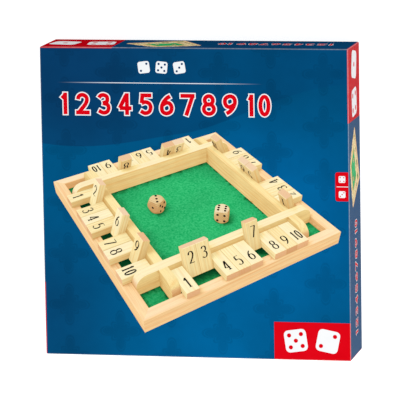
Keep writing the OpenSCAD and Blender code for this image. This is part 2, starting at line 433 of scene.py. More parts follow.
# Centre-lines of the numerals in a unit box: (points, form, whether the start and the end run on
# by half a stroke's width to the box that the figure fills)
SIX = [(0.86, 0.97), (0.50, 0.84), (0.17, 0.60), (0.02, 0.32), (0.14, 0.08), (0.50, 0.0),
       (0.88, 0.10), (1.0, 0.31), (0.86, 0.53), (0.52, 0.60), (0.12, 0.48)]
NUMERALS = {
    "0": [(oval(0.5, 0.5, 0.5, 0.5), "loop", 0, 0)],
    "1": [([(0.60, 0.0), (0.60, 1.0)], "line", 1, 1), ([(0.22, 0.78), (0.60, 1.0)], "line", 0, 0)],
    "2": [([(0.05, 0.74), (0.14, 0.91), (0.48, 1.0), (0.84, 0.90), (0.93, 0.70), (0.76, 0.46),
            (0.40, 0.20), (0.12, 0.0)], "curve", 0, 0),
          ([(0.03, 0.0), (1.0, 0.0)], "line", 1, 1)],
    "3": [([(0.05, 0.84), (0.22, 0.96), (0.50, 1.0), (0.84, 0.90), (0.84, 0.64), (0.42, 0.54)],
           "curve", 0, 0),
          ([(0.42, 0.54), (0.88, 0.46), (1.0, 0.26), (0.84, 0.06), (0.46, 0.0), (0.02, 0.12)],
           "curve", 0, 0)],
    "4": [([(0.74, 0.0), (0.74, 1.0)], "line", 1, 1), ([(0.66, 1.0), (0.02, 0.27)], "line", 0, 0),
          ([(0.02, 0.27), (1.0, 0.27)], "line", 0, 1)],
    "5": [([(0.20, 1.0), (0.90, 1.0)], "line", 1, 1),
          ([(0.195, 0.965), (0.12, 0.56)], "line", 0, 0),
          ([(0.12, 0.56), (0.50, 0.63), (0.88, 0.53), (1.0, 0.31), (0.84, 0.08), (0.44, 0.0),
            (0.02, 0.12)], "curve", 0, 0)],
    "6": [(SIX, "curve", 0, 0)],
    "7": [([(0.0, 1.0), (1.0, 1.0)], "line", 1, 1), ([(0.98, 0.98), (0.40, 0.0)], "line", 0, 1)],
    "8": [(oval(0.5, 0.76, 0.40, 0.24), "loop", 0, 0), (oval(0.5, 0.27, 0.5, 0.27), "loop", 0, 0)],
    "9": [([(1 - x, 1 - y) for x, y in SIX], "curve", 0, 0)],
}
# Widths of strokes as shares of a figure's height: the thick and thin ones of a serif numeral, and
# the even ones of a sans numeral
THICK, THIN, EVEN = 0.128, 0.046, 0.185
# Where the foot of a serif numeral stands, half its width and its height, and how narrow the 1 of
# 10 is drawn
FOOT_X = {"1": 0.60, "4": 0.74}
FOOT_HALF, FOOT_HIGH = 0.13, 0.04
NARROW = 0.62
# A die's face, as shares of its size: corner radius, step between pips, and radius of its pips in
# a print and in the picture
DIE_CORNER, PIP_STEP, PRINTED_PIP, PICTURED_PIP = 0.2, 0.27, 0.095, 0.10


def stroke(line, closed, width, extend):
    """Quads along a line, which is width(dy) wide where it climbs by dy, and runs on by extend at
    its two ends."""
    points = list(line)
    if not closed:
        for end, inner, more in ((0, 1, extend[0]), (-1, -2, extend[1])):
            a, b = Vector(points[end]), Vector(points[inner])
            points[end] = tuple(a + (a - b).normalized() * more)
    count = len(points)
    edges = []
    for n, (x, y) in enumerate(points):
        before = points[n - 1] if closed or n else points[n]
        after = points[(n + 1) % count] if closed or n < count - 1 else points[n]
        dx, dy = after[0] - before[0], after[1] - before[1]
        size = math.hypot(dx, dy)
        dx, dy = dx / size, dy / size
        w = width(dy) / 2
        edges.append(((x - dy * w, y + dx * w), (x + dy * w, y - dx * w)))
    quads = []
    for n in range(count if closed else count - 1):
        (a, b), (c, d) = edges[n], edges[(n + 1) % count]
        corners = [Vector(p) for p in (b, d, c, a)]
        quads.append(counter_clockwise([tuple(corners[m]) for m in geometry.convex_hull_2d(corners)]))
    return quads


def union(polygons):
    """One clean triangle mesh that covers the polygons, without overlaps."""
    vertices, faces = [], []
    for polygon in polygons:
        faces.append(list(range(len(vertices), len(vertices) + len(polygon))))
        vertices += [Vector(p) for p in polygon]
    points, _, triangles, _, _, sources = geometry.delaunay_2d_cdt(
        vertices, [], faces, 0, 1e-5, True
    )
    return [
        counter_clockwise([tuple(points[n]) for n in triangle])
        for triangle, source in zip(triangles, sources) if source
    ]


def numeral(text, height, wide, style, grow=0.0):
    """Triangles of a number, centred. style is serif, with thick and thin strokes and small
    feet, or sans, with even bold strokes. grow makes each stroke fatter on both sides."""
    serif = style == "serif"
    thick, thin = (share * height for share in ((THICK, THIN) if serif else (EVEN, EVEN)))

    def width(climb):
        return thin + (thick - thin) * abs(climb) ** 1.3 + 2 * grow

    polygons = []
    step = wide / len(text)
    top = height - thin
    for n, letter in enumerate(text):
        box = (step if len(text) == 1 else step * 0.9) - thick
        middle = -wide / 2 + step * (n + 0.5)
        if letter == "1" and len(text) > 1:
            box *= NARROW
        for points, form, start, end in NUMERALS[letter]:
            line = smooth_line(points) if form == "curve" else points
            line = [(middle + box * (x - 0.5), y * top - top / 2) for x, y in line]
            extend = (grow + start * thin / 2, grow + end * thin / 2)
            polygons += stroke(line, form == "loop", width, extend)
        if serif and letter in FOOT_X:
            foot, half = middle + box * (FOOT_X[letter] - 0.5), FOOT_HALF * height
            sole = -height / 2
            polygons.append(rectangle(foot - half, sole, foot + half, sole + FOOT_HIGH * height))
    return union(polygons)


def pip_places(value):
    """Pips of a die's face in a grid of three by three."""
    places = []
    for x in (-1, 0, 1):
        for y in (-1, 0, 1):
            if x == y == 0:
                shown = value % 2 == 1
            elif x == y:
                shown = value >= 2
            elif x == -y:
                shown = value >= 4
            else:
                shown = value == 6 and y == 0
            if shown:
                places.append((x, y))
    return places


def pip_discs(x, y, size, value, turn, share):
    """Pips of a die's face of that size about (x, y), each with a radius of that share of it."""
    step = PIP_STEP * size
    c, s = step * math.cos(turn), step * math.sin(turn)
    return [
        oval(x + c * px - s * py, y + s * px + c * py, size * share, size * share, 20)
        for px, py in pip_places(value)
    ]


# ---------------------------------------------------------------- numbers on tiles, faces of dice

SWING = math.radians(JOINTS["front_2_flip"]["range_deg"][1])
LOWERED = "tile_front_2"
tile_low, tile_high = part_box(LOWERED)
TILE_REACH = (JOINTS["front_2_flip"]["pos_m"][1] - tile_low.y) / MM
TILE_HALF_T = (tile_high.z - tile_low.z) / 2 / MM
# Numbers on the tiles, in mm: height, width with one and with two figures, how far the middle is
# from the free end, and how far the ink stands proud
NUMBER_HEIGHT, NUMBER_WIDE, TEN_WIDE, NUMBER_IN, NUMBER_LIFT = 12.6, 6.9, 11.4, 11.3, 0.03
NUMBER_SHAPES = {
    n: numeral(str(n), NUMBER_HEIGHT, NUMBER_WIDE if n < 10 else TEN_WIDE, "serif") for n in TILES
}
DIE_HALF = (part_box("die_a")[1].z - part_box("die_a")[0].z) / 2
# The ball that rounds a die's corners off is as wide against the die as 22 to 16
DIE_BALL = DIE_HALF * 22 / 16
# Top, front and left face of a die, each as its right, up and outward directions
DIE_FACES = (
    ((1, 0, 0), (0, 1, 0), (0, 0, 1)),
    ((1, 0, 0), (0, 0, 1), (0, -1, 0)),
    ((0, -1, 0), (0, 0, 1), (-1, 0, 0)),
)


def tile_matrix(side, n, raised):
    """Takes a tile's own points (x across, free end towards -y, lowered) to the row frame."""
    turn = Matrix.Rotation(SIDES.index(side) * QUARTER, 4, "Z")
    lift = Matrix.Rotation(-SWING if raised else 0.0, 4, "X")
    return Matrix.Translation(JOINTS[f"{side}_{n}_flip"]["pos_m"]) @ turn @ lift


def resting_matrix(side, n):
    """The tile matrix at rest: a tile whose joint also turns back from rest stands raised."""
    return tile_matrix(side, n, JOINTS[f"{side}_{n}_flip"]["range_deg"][0] < 0)


def number_point(point, way):
    """A numeral's point in a tile's own axes: on its upper face when lowered, way 1, and on the
    other face, way -1, upside down, so that it stands upright before the player when raised."""
    x, y = point
    return Vector((x, NUMBER_IN - TILE_REACH + way * y, way * (TILE_HALF_T + NUMBER_LIFT))) * MM


def die_point(point, axes):
    """A point in mm on a face of a die, in metres from the die's middle."""
    right, up, out = (Vector(axis) for axis in axes)
    return right * (point[0] * MM) + up * (point[1] * MM) + out * (DIE_HALF + 0.01 * MM)


def node_points(node):
    return [v.co.copy() for v in NODES[node].data.vertices]


# ---------------------------------------------------------------- the game, as the lid pictures it
# The picture on the lid is this part's own geometry, seen from the front left and with other tiles
# raised, flattened into polygons that tile one plane: each keeps its place on the wood it shows.

Solid = namedtuple("Solid", "kind matrix seed faces")
KINDS = ("rail", "wall", "tile", "felt", "die")
PICTURE_RAISED = {"front": (2, 3, 7), "right": (1, 5, 6, 10), "back": (3, 4, 8), "left": (2, 6, 9)}
# Place of each die, its turn and the pips on its top, front and left faces
PICTURE_DICE = (((-0.030, 0.020), 0.45, (3, 5, 1)), ((0.026, -0.031), -0.75, (6, 4, 2)))
# The camera of the picture, and the box in mm that the picture fills
PICTURE_AZIMUTH, PICTURE_ELEVATION, PICTURE_FAR = math.radians(-31), math.radians(39), 0.55
PICTURE_AIM = Vector((0, 0, 0.015))
PICTURE_BOX = (-116.0, -106.0, 118.0, 58.0)
# The picture's faces are cut into cells of this size in mm, as each of their corners is shaded
CELL = 3.0
# Tolerances in mm and mm2: a point on a line, no edge, no part, no overlap and no cell
ON_LINE, NO_EDGE, NO_PART, NO_OVERLAP, NO_CELL = 1e-7, 1e-9, 1e-5, 1e-3, 2e-6
# Seeds of the pictured pieces, each of which counts up from here
RAIL_SEED, WALL_SEED, TILE_SEED, DIE_SEED = 1, 5, 10, 60


def hull_faces(points):
    """Flat faces of the convex hull, each (corner points, outward normal)."""
    bm = bmesh.new()
    for point in points:
        bm.verts.new(point)
    bmesh.ops.remove_doubles(bm, verts=bm.verts, dist=1e-6)
    made = bmesh.ops.convex_hull(bm, input=bm.verts)
    unused = {e for e in made["geom_interior"] + made["geom_unused"] if isinstance(e, bmesh.types.BMVert)}
    bmesh.ops.delete(bm, geom=list(unused), context="VERTS")
    bmesh.ops.dissolve_limit(bm, angle_limit=math.radians(1.0), verts=bm.verts, edges=bm.edges)
    bmesh.ops.recalc_face_normals(bm, faces=bm.faces)
    faces = [([v.co.copy() for v in f.verts], f.normal.copy()) for f in bm.faces]
    bm.free()
    return faces


def between(points, low, high):
    """Points of the convex hull of points, cut off outside low..high along Y."""
    kept = []
    for corners, _ in hull_faces(points):
        for limit, sense in ((low, 1), (high, -1)):
            cut = []
            for a, b in zip(corners, corners[1:] + corners[:1]):
                da, db = sense * (a.y - limit), sense * (b.y - limit)
                if da >= 0:
                    cut.append(a)
                if da * db < 0:
                    cut.append(a.lerp(b, da / (da - db)))
            corners = cut
        kept += corners
    return kept


def die_surface(steps):
    """Points of a die, which is a cube with its corners rounded off by a ball, on six grids."""
    points = []
    for axis in range(3):
        for sense in (-1, 1):
            for i in range(steps + 1):
                for j in range(steps + 1):
                    way = Vector((0, 0, 0))
                    way[axis] = sense
                    way[(axis + 1) % 3] = math.tan(QUARTER * (i / steps - 0.5))
                    way[(axis + 2) % 3] = math.tan(QUARTER * (j / steps - 0.5))
                    points.append(way * min(DIE_HALF, DIE_BALL / way.length))
    return points


def pictured_solids():
    """The game's convex bodies as pictured, each with the matrix from its own axes."""
    solids = []

    def add(kind, matrix, seed, points):
        solids.append(Solid(kind, matrix, seed, hull_faces(points)))

    upright = Matrix.Identity(4)
    across = Matrix.Rotation(QUARTER, 4, "Z")
    add("felt", upright, 0, node_points("felt_sheet"))
    (front_low, front_high), (back_low, back_high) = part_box("wall_front"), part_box("wall_back")
    # the walls cross in half laps, so the right and the left one are cut into three
    thirds = ((-1, front_low.y), (front_high.y, back_low.y), (back_high.y, 1))
    for k, side in enumerate(SIDES):
        axes = across if k % 2 else upright
        add("rail", axes, k + RAIL_SEED, node_points(f"rail_{side}"))
        wall = node_points(f"wall_{side}")
        if k % 2 == 0:
            add("wall", axes, k + WALL_SEED, wall)
        else:
            for low, high in thirds:
                add("wall", axes, k + WALL_SEED, between(wall, low, high))
    lowered = tile_matrix("front", 2, False).inverted()
    own = [lowered @ p for p in node_points(LOWERED)]
    for k, side in enumerate(SIDES):
        for n in TILES:
            matrix = tile_matrix(side, n, n in PICTURE_RAISED[side])
            add("tile", matrix, TILE_SEED + k * 10 + n, [matrix @ p for p in own])
    felt_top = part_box("felt_sheet")[1].z
    for n, (place, turn, _) in enumerate(PICTURE_DICE):
        matrix = Matrix.Translation((*place, felt_top + DIE_HALF)) @ Matrix.Rotation(turn, 4, "Z")
        add("die", matrix, DIE_SEED + n, [matrix @ p for p in die_surface(6)])
    return solids


def half_plane(polygon, line, sense):
    """The part of a convex polygon on one side of a line (nx, ny, c)."""
    nx, ny, c = line
    sides = [sense * (nx * x + ny * y - c) for x, y in polygon]
    if min(sides) >= -ON_LINE:
        return polygon
    if max(sides) <= ON_LINE:
        return []
    kept = []
    for n, (x, y) in enumerate(polygon):
        m = (n + 1) % len(polygon)
        if sides[n] >= 0:
            kept.append((x, y))
        if sides[n] * sides[m] < 0:
            t = sides[n] / (sides[n] - sides[m])
            kept.append((x + (polygon[m][0] - x) * t, y + (polygon[m][1] - y) * t))
    return kept


def edge_lines(polygon):
    """Lines of a counter-clockwise polygon's edges, with their normals outwards."""
    lines = []
    for (ax, ay), (bx, by) in zip(polygon, polygon[1:] + polygon[:1]):
        size = math.hypot(bx - ax, by - ay)
        if size > NO_EDGE:
            nx, ny = (by - ay) / size, (ax - bx) / size
            lines.append((nx, ny, nx * ax + ny * ay))
    return lines


def bounds_2d(polygon):
    xs, ys = zip(*polygon)
    return min(xs), min(ys), max(xs), max(ys)


def apart(a, b):
    return a[0] >= b[2] or b[0] >= a[2] or a[1] >= b[3] or b[1] >= a[3]


def without(polygons, cover):
    """The polygons less a convex one, given as (bounds, edge lines)."""
    box, lines = cover
    left = []
    for polygon in polygons:
        if apart(bounds_2d(polygon), box):
            left.append(polygon)
            continue
        rest = polygon
        parts = []
        for line in lines:
            outside = half_plane(rest, line, 1)
            if len(outside) > 2 and area(outside) > NO_PART:
                parts.append(outside)
            rest = half_plane(rest, line, -1)
            if len(rest) < 3:
                break
        covered = len(rest) > 2 and area(rest) >= NO_PART
        left += parts if covered else [polygon]
    return left


def overlap(polygon, lines):
    """The part of a convex polygon within a convex outline, given by its edge lines, or None."""
    for line in lines:
        polygon = half_plane(polygon, line, -1)
        if len(polygon) < 3:
            return None
    return polygon if area(polygon) > NO_OVERLAP else None


def cells(polygons, size):
    """The polygons, cut along the lines of a square grid."""
    for axis in (0, 1):
        cut = []
        for rest in polygons:
            low, high = bounds_2d(rest)[axis::2]
            line = math.floor(low / size) + 1
            while line * size < high and len(rest) > 2:
                edge = (1 - axis, axis, line * size)
                cut.append(half_plane(rest, edge, -1))
                rest = half_plane(rest, edge, 1)
                line += 1
            cut.append(rest)
        polygons = [polygon for polygon in cut if len(polygon) > 2]
    return [p for p in polygons if area(p) > NO_CELL]


class PictureView:
    """A perspective camera that draws row-frame points in millimetres on the lid."""

    def __init__(self, points):
        flat = math.cos(PICTURE_ELEVATION)
        way = Vector((
            math.sin(PICTURE_AZIMUTH) * flat, -math.cos(PICTURE_AZIMUTH) * flat,
            math.sin(PICTURE_ELEVATION),
        ))
        self.eye = PICTURE_AIM + way * PICTURE_FAR
        self.ahead = -way
        self.right = self.ahead.cross(Vector((0, 0, 1))).normalized()
        self.up = self.right.cross(self.ahead)
        self.scale, self.x, self.y = 1.0, 0.0, 0.0
        x0, y0, x1, y1 = bounds_2d([self.draw(p) for p in points])
        left, low, right, high = PICTURE_BOX
        self.scale = min((right - left) / (x1 - x0), (high - low) / (y1 - y0))
        self.x = (left + right - self.scale * (x0 + x1)) / 2
        self.y = (low + high - self.scale * (y0 + y1)) / 2

    def draw(self, point):
        ray = point - self.eye
        scale = self.scale / ray.dot(self.ahead)
        return self.x + scale * ray.dot(self.right), self.y + scale * ray.dot(self.up)

    def ray(self, x, y):
        across, along = (x - self.x) / self.scale, (y - self.y) / self.scale
        return self.ahead + self.right * across + self.up * along

    def enters(self, solid, way):
        """How far along a ray from the eye a solid begins."""
        far = -math.inf
        for corners, normal in solid.faces:
            slope = normal.dot(way)
            if slope < -1e-9:
                far = max(far, normal.dot(corners[0] - self.eye) / slope)
        return far


def covers_ahead(solids, view):
    """For each solid, the outlines of those that stand before it, as (bounds, edge lines)."""
    outlines, covers = [], []
    for solid in solids:
        flat = [view.draw(p) for corners, _ in solid.faces for p in corners]
        hull = geometry.convex_hull_2d([Vector(p) for p in flat])
        outline = counter_clockwise([flat[n] for n in hull])
        outlines.append(outline)
        covers.append((bounds_2d(outline), edge_lines(outline)))
    ahead = [[] for _ in solids]
    for i in range(len(solids)):
        for j in range(i):
            shared = None if apart(covers[i][0], covers[j][0]) else overlap(outlines[i], covers[j][1])
            if shared:
                way = view.ray(*(sum(values) / len(shared) for values in zip(*shared)))
                behind = view.enters(solids[i], way) > view.enters(solids[j], way)
                back, front = (i, j) if behind else (j, i)
                ahead[back].append(covers[front])
    return ahead


def spread(count):
    """Directions over the half sphere about +z, thicker towards the top."""
    golden_angle = 2.399963
    ways = []
    for n in range(count):
        share = (n + 0.5) / count
        flat = math.sqrt(share)
        turn = n * golden_angle
        ways.append(Vector((flat * math.cos(turn), flat * math.sin(turn), math.sqrt(1 - share))))
    return ways


class Daylight:
    """How bright the picture is at a point: open sky, and a soft lamp from the upper left."""

    # Rays to the sky, how far the sky and the lamp look for what stands before them, how soft the
    # lamp is, and how far above its face a point is looked at from
    SKY_RAYS, SKY_REACH, LAMP_REACH, SOFTNESS, LIFT = 26, 0.07, 0.3, 0.16, 0.06 * MM

    def __init__(self, solids, view):
        points, faces = [], []
        for solid in solids:
            for corners, _ in solid.faces:
                faces.append(range(len(points), len(points) + len(corners)))
                points += corners
        self.tree = BVHTree.FromPolygons(points, faces)
        self.lamp = (-view.right * 0.55 + Vector((0, 0, 0.95)) - view.ahead * 0.25).normalized()
        self.rays = [
            (self.lamp + Vector(part) * self.SOFTNESS).normalized()
            for part in ((0, 0, 0), (1, 1, 0), (-1, 1, 0), (1, -1, 0), (-1, -1, 0))
        ]
        self.ways = spread(self.SKY_RAYS)

    def clear(self, start, ways, far):
        """The share of the ways in which nothing stands within that distance."""
        return sum(self.tree.ray_cast(start, way, far)[0] is None for way in ways) / len(ways)

    def shade(self, point, normal, solid):
        start = point + normal * self.LIFT
        axes = normal.to_track_quat("Z", "Y").to_matrix()
        sky = self.clear(start, [axes @ way for way in self.ways], self.SKY_REACH)
        facing = max(normal.dot(self.lamp), 0.0)
        lit = facing * self.clear(start, self.rays, self.LAMP_REACH) if facing else 0.0
        if solid.kind == "felt":
            return 0.07 + 0.80 * sky + 0.45 * lit
        return (0.60 + 0.38 * sky + 0.38 * lit) * (0.96 + 0.08 * math.sin(solid.seed * 2.9))


def marks(solid):
    """Numbers or pips on a pictured solid: (polygons in its own axes, outward direction)."""
    if solid.kind == "tile":
        number = (solid.seed - 1) % 10 + 1
        for way in (1, -1):
            shapes = [[number_point(p, way) for p in t] for t in NUMBER_SHAPES[number]]
            yield shapes, Vector((0, 0, way))
    if solid.kind == "die":
        # the pips lie as on a face of nine tenths of the die's width
        face = 0.9 * 2 * DIE_HALF / MM
        values = PICTURE_DICE[solid.seed - DIE_SEED][2]
        for value, axes in zip(values, DIE_FACES):
            discs = pip_discs(0, 0, face, value, 0, PICTURED_PIP)
            yield [[die_point(p, axes) for p in disc] for disc in discs], Vector(axes[2])


def seen_parts(polygons, covers):
    for cover in covers:
        polygons = without(polygons, cover)
    return polygons


def make_picture():
    """The pictured game: the drawn points and faces, the kind of thing that each face shows, at
    each point its shade, its place on the piece it shows and whether that is end grain, and the
    polygons of the numbers and pips."""
    solids = pictured_solids()
    view = PictureView([p for solid in solids for corners, _ in solid.faces for p in corners])
    daylight = Daylight(solids, view)
    picture = {key: [] for key in ("points", "faces", "kinds", "shade", "source", "end", "ink")}
    for solid, ahead in zip(solids, covers_ahead(solids, view)):
        own = solid.matrix.inverted()
        offset = Vector((solid.seed * 0.173 % 1, solid.seed * 0.377 % 1, solid.seed * 0.211 % 1))
        for corners, normal in solid.faces:
            if normal.dot(view.eye - corners[0]) <= 0:
                continue
            seen = seen_parts([counter_clockwise([view.draw(p) for p in corners])], ahead)
            own_normal = own.to_3x3() @ normal
            end = abs(own_normal.y if solid.kind == "tile" else own_normal.x)
            index = {}
            for polygon in cells(seen, CELL):
                face = []
                for x, y in polygon:
                    key = (round(x, 3), round(y, 3))
                    if key not in index:
                        way = view.ray(x, y)
                        far = normal.dot(corners[0] - view.eye) / normal.dot(way)
                        point = view.eye + way * far
                        local = own @ point
                        if solid.kind in ("tile", "die"):
                            local = Vector((local.y, local.x, local.z))
                        index[key] = len(picture["points"])
                        picture["points"].append(key)
                        picture["shade"].append(daylight.shade(point, normal, solid))
                        picture["source"].append(local + offset)
                        picture["end"].append(0.0 if solid.kind == "felt" else end)
                    if index[key] not in face:
                        face.append(index[key])
                if len(face) > 2:
                    picture["faces"].append(face)
                    picture["kinds"].append(KINDS.index(solid.kind))
        for shapes, way in marks(solid):
            if (solid.matrix.to_3x3() @ way).dot(view.eye - solid.matrix @ shapes[0][0]) > 0:
                flat = [[view.draw(solid.matrix @ p) for p in shape] for shape in shapes]
                picture["ink"] += seen_parts([counter_clockwise(shape) for shape in flat], ahead)
    return picture


# ---------------------------------------------------------------- the wooden game

def stamp_numbers(side, n, material):
    """The number of a tile, on both of its faces."""
    matrix = resting_matrix(side, n)
    vertices, faces = [], []
    for way in (1, -1):
        for triangle in NUMBER_SHAPES[n]:
            faces.append(list(range(len(vertices), len(vertices) + 3)))
            vertices += [matrix @ number_point(p, way) for p in triangle[::way]]
    made = mesh_object(f"number_{side}_{n}", vertices, faces, [material])
    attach(made, f"tile_{side}_{n}")


def dress_die(node, seed):
    """Wood with black painted pips, which are found by their depth below the die's skin."""
    low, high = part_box(node)
    upright = (face for face in NODES[node].data.polygons if abs(face.normal.z) < 0.5)
    out = max(upright, key=lambda face: face.area).normal
    back = Matrix.Rotation(-(math.atan2(out.y, out.x) % QUARTER), 4, "Z")
    place, turn, _ = (back @ Matrix.Translation(-(low + high) / 2)).decompose()
    tree = Tree(f"{node}_wood")
    local = in_own_axes(tree, tree.point, place, turn)
    colour, height = grain(tree, local, DIE_LIGHT, DIE_DARK, seed, pith=(0.012, 0.02), period=0.0016)
    x, y, z = local.vector("ABSOLUTE").split()
    below_flat = x.most(y.most(z)).span(DIE_HALF - 0.05 * MM, DIE_HALF - 0.01 * MM, 1.0, 0.0)
    below_ball = local.length().span(DIE_BALL - 0.22 * MM, DIE_BALL - 0.12 * MM, 1.0, 0.0)
    paint = tree.mix(tree.noise(local, 1500.0, 2.0).vary(), lin(22, 20, 19), lin(48, 42, 38))
    colour = tree.mix(below_flat * below_ball, colour, paint)
    rough = height.span(0.3, 1.1, 0.34, 0.5)
    dress(node, tree.finish(colour, rough, tree.bump(height, 0.03, 0.5), gloss=0.4))


STAMP = ink_material("stamp_ink", lin(24, 20, 18), lin(52, 44, 38))
for k, side in enumerate(SIDES):
    for kind, seed, tone in (("rail", k + 1.3, 1.0), ("wall", k + 5.7, 1.03)):
        to_local = wood_axes("Y" if k % 2 else "X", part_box(f"{kind}_{side}")[0])
        material = wood(f"{kind}_wood_{side}", to_local, RAIL_LIGHT, RAIL_DARK, seed, tone)
        dress(f"{kind}_{side}", material)
    for n in TILES:
        stamp_numbers(side, n, STAMP)
        # a tile's fibres run from its hinge to its free end, its own y
        to_local = wood_axes("Y") @ resting_matrix(side, n).inverted()
        seed = TILE_SEED + k * 10 + n
        tone = 0.97 + 0.05 * math.sin(seed * 2.9)
        material = wood(f"tile_wood_{side}_{n}", to_local, TILE_LIGHT, TILE_DARK, seed, tone)
        dress(f"tile_{side}_{n}", material)
dress("base_panel", plywood_material())
dress("rods", steel_material())
dress("lid_board", greyboard_material("lid_greyboard", 0.0))
dress("tray_board", greyboard_material("tray_greyboard", 3.0))
dress_die("die_a", 3.1)
dress_die("die_b", 8.4)

felt_low, felt_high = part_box("felt_sheet")
FELT_WIDTH = felt_high.x - felt_low.x
# Steps of the felt's grid, and how far its upper side and its edge drop
FELT_STEPS, FELT_DROP, EDGE_DROP = 72, 0.00004, 0.00018


def felt_piece():
    """The felt: a laid sheet with its upper side a little uneven and its edge soft."""
    count = FELT_STEPS
    row = count + 1
    vertices, faces = [], []
    for i in range(row):
        for j in range(row):
            x, y = felt_low.x + FELT_WIDTH * i / count, felt_low.y + FELT_WIDTH * j / count
            wave = math.sin(x * 171 + 1.3 * math.sin(y * 97))
            wave *= math.sin(y * 143 + 1.1 * math.sin(x * 83))
            at_edge = min(i, j, count - i, count - j) == 0
            drop = FELT_DROP * (1 - wave) + (EDGE_DROP if at_edge else 0.0)
            vertices.append((x, y, felt_high.z - drop))
    for i in range(count):
        for j in range(count):
            corner = i * row + j
            faces.append((corner, corner + row, corner + row + 1, corner + 1))
    rim = (
        [i * row for i in range(count)] + [count * row + j for j in range(count)]
        + [(count - i) * row + count for i in range(count)] + [count - j for j in range(count)]
    )
    start = len(vertices)
    vertices += [(*vertices[n][:2], felt_low.z) for n in rim]
    for n in range(len(rim)):
        m = (n + 1) % len(rim)
        faces.append((rim[m], rim[n], start + n, start + m))
    faces.append(tuple(range(start + len(rim) - 1, start - 1, -1)))
    return mesh_object("felt", vertices, faces, [felt_material()])


felt = felt_piece()
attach(felt, "game")
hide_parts("felt_sheet")

# ---------------------------------------------------------------- the box and its paper

lid_low, lid_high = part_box("lid_wrap")
tray_low, tray_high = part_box("tray_wrap")
LID_HALF, LID_TOP, LID_RIM = lid_high.x / MM, lid_high.z / MM, lid_low.z / MM
TRAY_HALF, TRAY_RIM, TRAY_FLOOR = tray_high.x / MM, tray_high.z / MM, tray_low.z / MM
# Corners of the red blocks, on the lid's face and on its sides
BLOCK_X, BLOCK_Y, SIDE_BLOCK_X = 63.0, -94.5, 66.0
# Prints end this far from a fold
PRINT_IN = 0.8
PRINT_EDGE = LID_HALF - PRINT_IN
# The thin rule over the title's place
RULE_LEFT, RULE_RIGHT, RULE_LOW, RULE_HIGH = -112.0, 57.0, 96.2, 96.9


def damask(tree, x, y, pitch=42.0):
    """A traditional half-drop ornament of four long and four short leaves, from 0 to 1, at a
    point in mm."""
    column = x / pitch
    drop = column.math("FLOOR").math("FLOORED_MODULO", 2.0) * (pitch / 2)
    u = column.math("FRACT") - 0.5
    v = ((y + drop) / pitch).math("FRACT") - 0.5
    turn = v.math("ARCTAN2", u) * 2.0
    long_leaf = (abs(turn.math("COSINE")) ** 1.6).math("MULTIPLY_ADD", 0.36, 0.05)
    short_leaf = (abs(turn.math("SINE")) ** 1.6).math("MULTIPLY_ADD", 0.20, 0.05)
    reach = long_leaf.most(short_leaf) - tree.join(u, v).length()
    vein = abs(reach - 0.05).span(0.006, 0.016, 0.8, 0.0)
    return (reach.span(-0.012, 0.012) - vein).most(0.0)


def face_ground(tree, x, y):
    """The ground of the lid's face: blue that glows to the right and the bottom, under a wave
    that holds the darker place of the title."""

    def near(px, py, low, high):
        # 1 within low of a place, 0 beyond high
        away = tree.join(x, y).vector("DISTANCE", (px, py, 0.0), out=1)
        return away.span(low, high, 1.0, 0.0)

    middle_blue = lin(6, 67, 110)
    colour = tree.mix(near(60, -20, 10, 120), lin(0, 84, 130), lin(0, 100, 159))
    colour = tree.mix(near(10, -128, 5, 110) * 0.85, colour, lin(0, 101, 157))
    colour = tree.mix(near(-130, -90, 0, 95) * 0.8, colour, middle_blue)
    colour = tree.mix(y.span(50.0, 125.0) * 0.9, colour, lin(1, 72, 113))
    # the wave swings by 7 mm about a line that is 52 mm up and rises by 52 mm more to the right
    swell = ((x + 35.0) / 38.0).math("SINE")
    above = y - (swell * 7.0 + (x.span(-10.0, 135.0, 0.0, 52.0) + 52.0))
    navy = tree.mix(above.span(0.0, 40.0), middle_blue, lin(7, 61, 104))
    navy = tree.mix(x.span(-95.0, 40.0, 0.0, 0.85), navy, lin(0, 76, 121))
    colour = tree.mix(above.span(-0.5, 0.5), colour, navy)
    return colour.dim(damask(tree, x, y).span(0.0, 1.0, 1.01, 0.88))


def ground(tree):
    """Colour of the lid's printed ground, and the point's x, y and z in mm. The sides are plain
    navy."""
    x, y, z = tree.point.vector("MULTIPLY", (1 / MM,) * 3).split()
    cloud = tree.noise(tree.point, 22.0, 4.0, 0.6)
    colour = face_ground(tree, x, y).dim(cloud.vary(0.93, 1.07))
    side = tree.dim(lin(10, 71, 115), cloud.vary(0.95, 1.05))
    colour = tree.mix(tree.normal.split()[2].span(0.4, 0.8), side, colour)
    # the red blocks run on over the folds, where their own prints end
    left, down = x * -1.0, y * -1.0
    block = x.span(BLOCK_X - 0.1, BLOCK_X) * y.span(BLOCK_Y, BLOCK_Y + 0.1, 1.0, 0.0)
    block = block * z.span(LID_TOP - 0.5, LID_TOP - 0.4)
    for along, out in ((x, down), (y, x), (left, y), (down, left)):
        at_fold = out.span(LID_HALF - 0.95, LID_HALF - 0.85)
        block = block.most(along.span(SIDE_BLOCK_X - 0.1, SIDE_BLOCK_X) * at_fold)
    return tree.mix(block, colour, lin(226, 5, 22)), x, y, z


